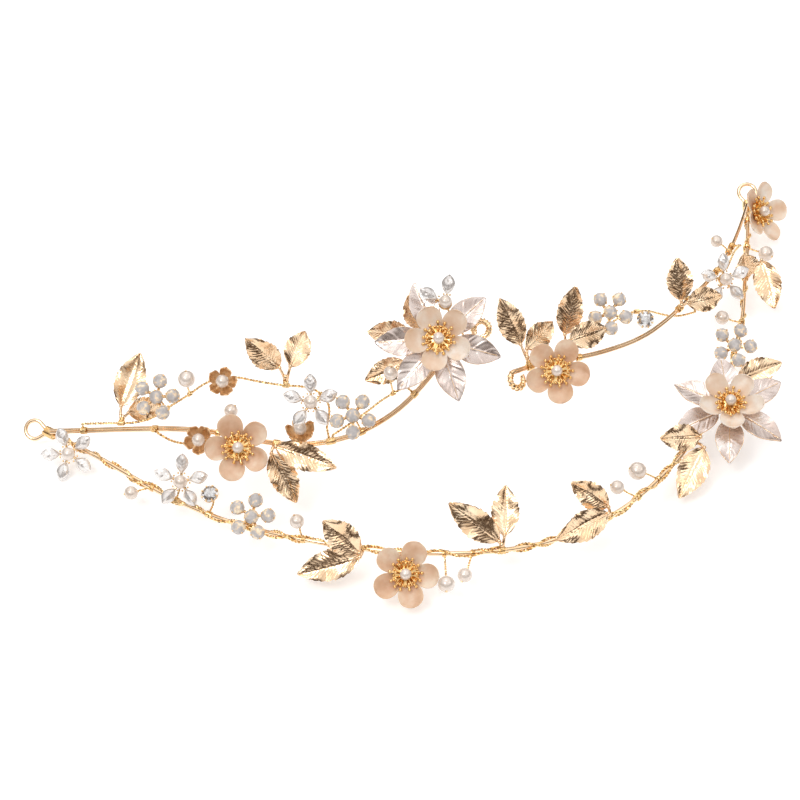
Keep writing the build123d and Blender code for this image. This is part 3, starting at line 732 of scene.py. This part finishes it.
def addPetal(shape, centre, way, normal, seed, lift):
    dice = np.random.default_rng(seed)
    p = shellPetal
    u = np.sin(np.linspace(0, pi / 2, 27))[:, None]
    v = np.sin(np.linspace(-pi / 2, pi / 2, 25))[None, :]
    wide = p["widest"]
    rounded = np.sqrt(np.clip(1 - (np.clip(u - wide, 0, 1) / (1 - wide)) ** 2.3, 0.0004, 1))
    waist = 0.42 + 0.58 * np.sin(pi / 2 * u / wide) ** 1.2
    half = p["width"] / 2 * dice.uniform(0.94, 1.04) * np.where(u < wide, waist, rounded)
    r = p["inner"] + (p["outer"] - p["inner"]) * u * dice.uniform(0.95, 1.02)
    shift = dice.uniform(0, 6, 3)
    z = 0.35 + lift * dice.uniform(0.75, 1.2) * u ** 1.5
    z = z + p["cup"] * np.abs(v) ** 2.2 * np.sin(pi * u ** 0.8 * 0.93) ** 0.6
    z = z + p["wave"] * np.sin(3 * u + shift[0] + 2.5 * v) - 0.55 * u ** 6
    side = np.cross(normal, way)
    grid = centre + mm * (r[..., None] * way + (v * half)[..., None] * side + z[..., None] * normal)
    n = sheetNormals(grid)
    thick = p["thickness"] / 2 * mm * (1 - 0.5 * np.abs(v) ** 4)[..., None]
    addSkin(shape, grid + n * thick, grid - n * thick)


def addCrown(shape, centre, normal, way, seed):
    dice = np.random.default_rng(seed)
    side = np.cross(normal, way)
    s = stamens
    addTurned(shape, s["dish"], centre, normal, 78,
              flute=lambda turn, radius: 1 + 0.07 * np.cos(s["beads"] * turn) * (radius > 3.2))
    for count, foot, ring, height, bead in ((s["outerPins"], 2.4, s["ring"], s["height"] - 0.4, 0.60),
                                            (s["innerPins"], 2.1, s["innerRing"], s["height"] + 0.1, 0.52)):
        for k in range(count):
            angle = 2 * pi * (k + dice.uniform(-0.18, 0.18)) / count
            out = way * cos(angle) + side * sin(angle)
            top = height + dice.uniform(-0.35, 0.35)
            reach = ring + dice.uniform(-0.3, 0.3)
            corner = out * (foot + 0.25 * (reach - foot)) + normal * (1.1 + 0.75 * (top - 1.1))
            path = bowed(out * foot + normal * 1.1, corner, out * reach + normal * top, 7)
            addTube(shape, centre + mm * path, np.linspace(0.42, 0.27, 7) * mm, 7)
            addBead(shape, centre + mm * path[-1], bead, 10)
    for k in range(s["beads"]):
        angle = 2 * pi * (k + 0.5) / s["beads"]
        out = way * cos(angle) + side * sin(angle)
        addBead(shape, centre + mm * (out * 4.15 + normal * (1.9 + dice.uniform(0, 0.3))), 0.5, 8)


openWide = ("endFlower", "frontSpray", "leftSpray")
frames = {}
for order, (flower, (body, title)) in enumerate(flowers.items()):
    plates = [p for part in looseParts(flower + "_petals") for p in platesOf(part, 30)]
    centre = np.mean([p["middle"] for p in plates], axis=0)
    normal = unit(np.mean([p["normal"] for p in plates], axis=0))
    centre = centre - normal * 0.35 * mm
    ways = [unit(p["middle"] - centre - normal * np.dot(p["middle"] - centre, normal)) for p in plates]
    frames[flower] = (centre, normal, ways[0])
    lift, finish = (shellPetal["sprayLift"], paleShell) if title in openWide else (shellPetal["lift"], shell)
    shape = newShape()
    for k, way in enumerate(ways):
        addPetal(shape, centre, way, normal, 300 + 10 * order + k, lift)
    makePiece(title + "Petals", shape, [finish], body, "shell_petal", flower + "_petals", sharp=55)
    tieTo(body, centre - normal * 0.6 * mm, normal, 6)
    addTurned(ties[body], flowerDisc, centre, normal, 20)

for side, names in (("front", ("front_flower", "end_flower", "front_spray")),
                    ("left", ("left_flower", "left_spray")), ("right", ("right_flower",))):
    shape = newShape()
    for k, name in enumerate(names):
        addCrown(shape, *frames[name], 500 + k)
    makePiece(side + "Stamens", shape, [stamenGold], bodies[side], "stamen_gold", side + "_stamens", sharp=50)

# clear moulded leaves behind the two sprays, with gold rims and midribs
sprayLeaf = dict(goldLeaf, rows=61, columns=31, thickness=0.7, teeth=3, toothDepth=0.02, veins=4.2, slope=0.9,
                 keel=0.22, veinHeight=0.24, puff=0.10, ribs=0.0, ruffle=0.2, crumple=0.08)
sprayRim, sprayStalk = 0.13, 0.32
sprayDisc = [(0.4, -2.6), (2.4, -2.3), (3.1, -1.6), (2.0, -1.2), (0.5, -1.0)]
for order, side in enumerate(("front", "left")):
    centre, normal, _ = frames[side + "_spray"]
    body, node = bodies[side], side + "_spray_leaves"
    shape = newShape()
    for k, plate in enumerate(p for part in looseParts(node) for p in platesOf(part, 60)):
        ends = [plate["middle"] + way * plate["long"] * plate["length"] / 2 * mm for way in (-1, 1)]
        ends.sort(key=lambda e: np.linalg.norm(e - centre))
        long = unit(ends[1] - ends[0])
        grid = addLeaf(shape, ends[0], long, normal, plate["length"], plate["width"] * 1.1,
                       700 + 10 * order + k, sprayLeaf, -0.06, radians(8 * (-1) ** k))
        for line in (grid[2:, 0], grid[2:, -1], grid[:-4, grid.shape[1] // 2] + normal * 0.42 * mm):
            addTube(shape, resample(line, 0.5 * mm), sprayRim * mm, 6, paint=1)
        stalk = np.array([centre - normal * 1.8 * mm, ends[0] - normal * 0.5 * mm,
                          ends[0] + long * 2.5 * mm - normal * 0.35 * mm])
        addTube(ties[body], resample(stalk, 0.6 * mm), sprayStalk * mm, 8)
    makePiece(side + "SprayLeaves", shape, [clearLeaf, castGold], body, "clear_leaf", node, sharp=60)
    addTurned(ties[body], sprayDisc, centre, normal, 20)
print("flowers ready")

# stone flowers: settings, crystals and opals
crystalPetal = {"ridges": 3.5, "height": 1.9, "spread": 1.12,
                "hub": [(0.4, -0.5), (1.8, -0.3), (2.3, 0.3), (2.1, 1.0), (0.4, 1.1)]}
opalStone = {"radius": 2.5, "height": 2.5,
             "hub": [(0.4, -0.5), (1.5, -0.3), (1.9, 0.3), (1.5, 0.8), (0.4, 0.9)],
             "rings": ((0.46, 1.0, 8, 0), (0.80, 0.78, 8, 0.5), (0.985, 0.42, 16, 0), (0.99, 0.32, 16, 0),
                       (0.35, -0.02, 8, 0))}
prong = {"wire": 0.24, "step": 0.3}


def addCrystal(shape, base, long, normal, length, width):
    # a pointed stone, domed and ridged on top, with a shallow back
    u = np.linspace(0, 1, 31)[:, None]
    v = np.linspace(-1, 1, 19)[None, :]
    half = width / 2 * (np.sin(pi * u ** 1.08) ** 0.80 + 0.03)
    wave = u * crystalPetal["ridges"] - np.abs(v) * 0.9
    dome = (1 - np.abs(v) ** 2.2) * np.sin(pi * np.clip(u, 0.03, 0.97)) ** 0.45
    lift = crystalPetal["height"] * 0.62 * dome + 0.13 * np.abs(np.sin(pi * wave)) * dome
    lift = lift + 0.22 * np.exp(-(v / 0.14) ** 2) * dome
    front, back = (placed(np.stack([length * u + 0 * v, v * half, z], -1) * mm, base, long, normal)
                   for z in (lift + 0.75, 0.65 - 0.75 * dome))
    addSkin(shape, front, back)


def addProng(shape, path, bead):
    addTube(shape, resample(path, prong["step"] * mm), prong["wire"] * mm, 6)
    addBead(shape, path[-1], bead, 7)


def addCup(shape, seat, normal, radius, height, prongs, spin):
    # a bezel cup with small prongs over the stone's edge
    wall = [(0.4, 0), (radius * 0.78, 0.05), (radius * 0.98, height), (radius * 1.05, height + 0.45),
            (radius * 0.97, height + 0.5), (radius * 0.9, height * 0.9), (0.4, height * 0.6)]
    addTurned(shape, wall, seat, normal, 20)
    a, b = sideways(normal, rise + 0.2 * across)
    for k in range(prongs):
        angle = 2 * pi * k / prongs + spin
        out = a * cos(angle) + b * sin(angle)
        path = [out * radius + normal * height * 0.7, out * radius * 1.06 + normal * (height + 0.9),
                out * radius * 0.93 + normal * (height + 1.55)]
        addProng(shape, seat + mm * np.array(path), 0.3)


for side, body in bodies.items():
    crystalNodes = [side + "_crystal_petals"] + (["end_crystal_petals"] if side == "front" else [])
    hubs = [{"points": p["points"], "stones": [], "petals": []} for p in looseParts(side + "_stone_settings")]
    pearls = ballsOf(side + "_pearls")
    settings = newShape()
    opalShape = newShape()
    for part in looseParts(side + "_opals"):
        plate = platesOf(part, 12)[0]
        min(hubs, key=lambda h: reachTo(h["points"], plate["middle"]))["stones"].append(plate)
    crystalShapes = {n: newShape() for n in crystalNodes}
    for node in crystalNodes:
        for plate in (p for part in looseParts(node) for p in platesOf(part, 9)):
            hub = min(hubs, key=lambda h: reachTo(h["points"], plate["middle"]))
            hub["petals"].append((node, plate))
    for hub in hubs:
        if hub["stones"]:
            normal = hub["stones"][0]["normal"]
            centre = np.mean([p["middle"] for p in hub["stones"]], axis=0) - normal * 3.0 * mm
            for k, plate in enumerate(hub["stones"]):
                seat = plate["middle"] - normal * 2.3 * mm
                addHull(opalShape, seat + normal * 1.0 * mm, normal, sideways(normal, rise + 0.2 * across),
                        opalStone["rings"], opalStone["radius"], opalStone["height"], 0.3 * k)
                addCup(settings, seat, normal, 2.42, 1.1, 4, 0.4 + 0.2 * k)
                if np.linalg.norm(seat - centre) > 3 * mm:
                    t = np.linspace(0, 1, 6)[:, None]
                    bar = (seat - centre) * t + normal * (0.3 - 0.5 * np.sin(pi * t)) * mm
                    addTube(settings, centre + bar, 0.55 * mm, 8)
            addTurned(settings, opalStone["hub"], centre, normal, 16)
        else:
            normal = hub["petals"][0][1]["normal"]
            pearl = min(pearls, key=lambda p: reachTo(hub["points"], p[0]))
            centre = pearl[0] - normal * (0.82 + pearl[1]) * mm
            for node, plate in hub["petals"]:
                out = plate["middle"] - centre
                out = unit(out - normal * np.dot(out, normal))
                base = plate["middle"] - out * plate["length"] / 2 * mm - normal * 0.9 * mm
                tilt = unit(out + normal * 0.18)
                addCrystal(crystalShapes[node], base, tilt, unit(normal - out * 0.18),
                           plate["length"] * crystalPetal["spread"], plate["width"] * 1.04)
                t = np.linspace(0, 1, 7)[:, None]
                bar = mm * (t * out * 5.6 + normal * (0.2 + t * 0.5 - 0.1 * np.sin(pi * t)))
                addTube(settings, centre + bar, np.linspace(0.62, 0.4, 7) * mm, 8)
                for way in (1, -1):
                    bead = out * 3.0 + normal * 1.25 + way * np.cross(normal, out) * 1.1
                    addBead(settings, centre + bead * mm, 0.36, 7)
            addTurned(settings, crystalPetal["hub"], centre, normal, 18)
        tieTo(body, centre - normal * 0.4 * mm, normal, 6)
    makePiece(side + "StoneSettings", settings, [setGold], body, "gold_setting", side + "_stone_settings",
              sharp=40)
    makePiece(side + "Opals", opalShape, [opal], body, "opal_stone", side + "_opals", sharp=28)
    for node, crystals in crystalShapes.items():
        title = node.split("_")[0] + "CrystalPetals"
        makePiece(title, crystals, [crystal], body, "crystal_petal", node, sharp=30)
print("stone flowers ready")

# single stones in prong cups
singleStone = {"radius": 3.0, "prongs": 8,
               "rings": ((0.56, 3.0, 8, 0.5), (0.80, 2.62, 8, 0), (1.0, 2.0, 16, 0), (1.0, 1.8, 16, 0),
                         (0.5, 0.75, 8, 0.5), (0.06, 0.02, 4, 0)),
               "cup": [(0.5, -1.7), (1.1, -1.5), (1.7, -0.6), (2.3, 0.5), (2.15, 0.6), (1.4, -0.4),
                       (0.5, -1.0)]}
for side in ("front", "right"):
    stone = np.concatenate([p["points"] for p in looseParts(side + "_solitaire_stone")])
    cup = np.concatenate([p["points"] for p in looseParts(side + "_solitaire_cup")])
    axis = unit(stone.mean(0) - cup.mean(0))
    low = stone[stone @ axis < (stone @ axis).min() + 0.05 * mm]
    culet = middleOf(low)
    a, b = sideways(axis, across)
    shape = newShape()
    addHull(shape, culet, axis, (a, b), singleStone["rings"], singleStone["radius"])
    makePiece(side + "SingleStone", shape, [cutStone], bodies[side], "clear_stone", side + "_solitaire_stone",
              sharp=5)
    shape = newShape()
    addTurned(shape, singleStone["cup"], culet, axis, 20)
    for k in range(singleStone["prongs"]):
        angle = 2 * pi * (k + 0.5) / singleStone["prongs"]
        out = a * cos(angle) + b * sin(angle)
        path = [out * 1.6 - axis * 0.5, out * 2.7 + axis * 1.1, out * 3.12 + axis * 2.0,
                out * 2.75 + axis * 2.6]
        addProng(shape, culet + mm * np.array(path), 0.32)
    turn = np.linspace(0, 2 * pi, 41)[:, None]
    addTube(shape, culet + mm * (axis * 1.35 + 2.85 * (a * np.cos(turn) + b * np.sin(turn))), 0.2 * mm, 6)
    makePiece(side + "SingleCup", shape, [setGold], bodies[side], "gold_setting", side + "_solitaire_cup")
    tieTo(bodies[side], culet - axis * 1.6 * mm, axis, 6)

# small bronze cup flowers
cupPetal = {"count": 5, "reach": 4.9, "depth": 3.1, "halfWidth": 1.95, "halfThickness": 0.22,
            "foot": [(0.4, -0.6), (1.2, -0.4), (2.0, 0.1), (1.9, 0.6), (0.5, 0.8)]}
shape = newShape()
pearls = ballsOf("left_pearls")
for order, part in enumerate(looseParts("left_cup_flowers")):
    pearl = min(pearls, key=lambda p: np.linalg.norm(p[0] - middleOf(part["points"])))
    normal = unit(platesOf(part, 6)[0]["normal"])
    base = pearl[0] - normal * 3.3 * mm
    a, b = sideways(normal, rise + 0.1 * across)
    dice = np.random.default_rng(900 + order)
    for k in range(cupPetal["count"]):
        angle = 2 * pi * k / cupPetal["count"] + 0.4 * order
        out, side = a * cos(angle) + b * sin(angle), -a * sin(angle) + b * cos(angle)
        u = np.linspace(0, 1, 17)[:, None]
        v = np.linspace(-1, 1, 15)[None, :]
        outline = np.sin(pi * np.clip(u ** 1.25 * 0.96, 0, 1)) ** 0.7 + 0.36 * (1 - u)
        half = cupPetal["halfWidth"] * dice.uniform(0.9, 1.1) * outline
        reach = 0.8 + (cupPetal["reach"] - 0.8) * np.sin(u * pi / 2) + 0.25 * u ** 6
        level = 0.15 + cupPetal["depth"] * u ** 1.7 + 0.35 * np.abs(v) ** 2 * u
        level = level + 0.12 * np.sin(6 * v + dice.uniform(0, 6))
        reach = reach - 0.55 * np.abs(v) ** 2 * u
        grid = base + mm * (reach[..., None] * out + (v * half)[..., None] * side + level[..., None] * normal)
        thick = sheetNormals(grid) * cupPetal["halfThickness"] * mm
        addSkin(shape, grid + thick, grid - thick)
    addTurned(shape, cupPetal["foot"], base, normal, 18)
    tieTo("left_arm", base - normal * 0.5 * mm, normal, 5)
makePiece("leftCupFlowers", shape, [bronze], "left_arm", "bronze_flower", "left_cup_flowers", sharp=50)
print("cup flowers ready")

# pearls, and the twisted stems that carry some of them
pearlStem = {"bow": 0.8, "turns": 4}
for side, body in bodies.items():
    rods = [p["points"] for p in looseParts(side + "_stems")]
    shape = newShape()
    for order, (centre, radius) in enumerate(ballsOf(side + "_pearls")):
        rod = min(rods, key=lambda r: reachTo(r, centre))
        axis = outward
        if reachTo(rod, centre) < (radius + 0.8) * mm:
            far = rod[np.argmax(np.linalg.norm(rod - centre, axis=1))]
            foot, way, core = nearestLine(body, far)
            axis = unit(centre - rod.mean(0))
            corner = (foot + centre) / 2 + unit(np.cross(axis, way)) * pearlStem["bow"] * (-1) ** order * mm
            path = bowed(foot, corner, centre - axis * radius * 0.9 * mm, 12)
            addTwist(ties[body], path, tie["strand"], tie["pitch"])
            addCoil(ties[body], foot, way, core + tie["clear"], tie["wire"], pearlStem["turns"])
            cap = [(0.15, radius - 0.15), (0.42, radius - 0.05), (0.36, radius + 0.2), (0.12, radius + 0.34)]
            addTurned(shape, cap, centre, axis, 10, paint=1)
            seat = [(0.3, -radius - 0.35), (0.55, -radius - 0.1), (0.5, -radius + 0.15)]
            addTurned(shape, seat, centre, axis, 12, paint=1)
        turn = np.linspace(0.04, pi - 0.04, 22)
        addTurned(shape, [(radius * sin(t), -radius * cos(t)) for t in turn], centre, axis, 32)
    makePiece(side + "Pearls", shape, [pearlCoat, setGold], body, "pearl", side + "_pearls")

for side, body in bodies.items():
    makePiece(side + "TwistedStems", ties[body], [twistedWire], body, "fine_twisted_wire", side + "_stems")
print("pearls and stems ready")

# floor, lights and surroundings
studio = {"floorGlow": 0.3, "keySize": 0.5, "keyPower": 6, "fillPower": 2, "backPower": 2, "topPower": 2,
          "skyStrength": 1.14}
bpy.ops.mesh.primitive_plane_add(size=6, location=(0, 0, -0.0004))
floor = bpy.context.object
floor.name = "floor"
paper = newFinish("paper", (0.93, 0.93, 0.93), 0.0, 0.9)
varyColour(paper, 3, [(0.3, (0.925, 0.925, 0.925)), (0.7, (0.94, 0.94, 0.94))])
glow = paper.node_tree.nodes["Principled BSDF"].inputs
glow["Emission Color"].default_value = (1, 1, 1, 1)
glow["Emission Strength"].default_value = studio["floorGlow"]
floor.data.materials.append(paper)

for name, place, size, power in (("keyLight", (-0.9, -0.5, 1.5), studio["keySize"], studio["keyPower"]),
                                 ("fillLight", (1.1, -0.9, 1.2), 0.7, studio["fillPower"]),
                                 ("backLight", (0.3, 1.3, 1.3), 0.8, studio["backPower"]),
                                 ("topLight", (-0.1, 0.15, 1.5), 0.5, studio["topPower"])):
    lamp = bpy.data.objects.new(name, bpy.data.lights.new(name, "AREA"))
    lamp.data.size = size
    lamp.data.energy = power
    lamp.location = place
    lamp.rotation_euler = (-Vector(place)).to_track_quat("-Z", "Y").to_euler()
    bpy.context.scene.collection.objects.link(lamp)

world = bpy.data.worlds.new("studio")
bpy.context.scene.world = world
world.use_nodes = True
nodes, links = world.node_tree.nodes, world.node_tree.links
sky = nodes["Background"]
place, split, ramp, plain, mix, ray = (nodes.new("ShaderNode" + k) for k in (
    "TexCoord", "SeparateXYZ", "ValToRGB", "Background", "MixShader", "LightPath"))
links.new(place.outputs["Generated"], split.inputs["Vector"])
links.new(split.outputs["Z"], ramp.inputs["Fac"])
bands = [(0.0, (0.20, 0.17, 0.15)), (0.16, (0.05, 0.035, 0.027)), (0.40, (0.13, 0.10, 0.08)),
         (0.60, (0.72, 0.70, 0.69)), (0.82, (1.0, 1.0, 1.0))]
fillRamp(ramp, bands)
plain.inputs["Color"].default_value = (1, 1, 1, 1)
sky.inputs["Strength"].default_value = studio["skyStrength"]
links.new(ramp.outputs["Color"], sky.inputs["Color"])
links.new(ray.outputs["Is Camera Ray"], mix.inputs["Fac"])
links.new(sky.outputs["Background"], mix.inputs[1])
links.new(plain.outputs["Background"], mix.inputs[2])
links.new(mix.outputs["Shader"], nodes["World Output"].inputs["Surface"])
print("studio ready")
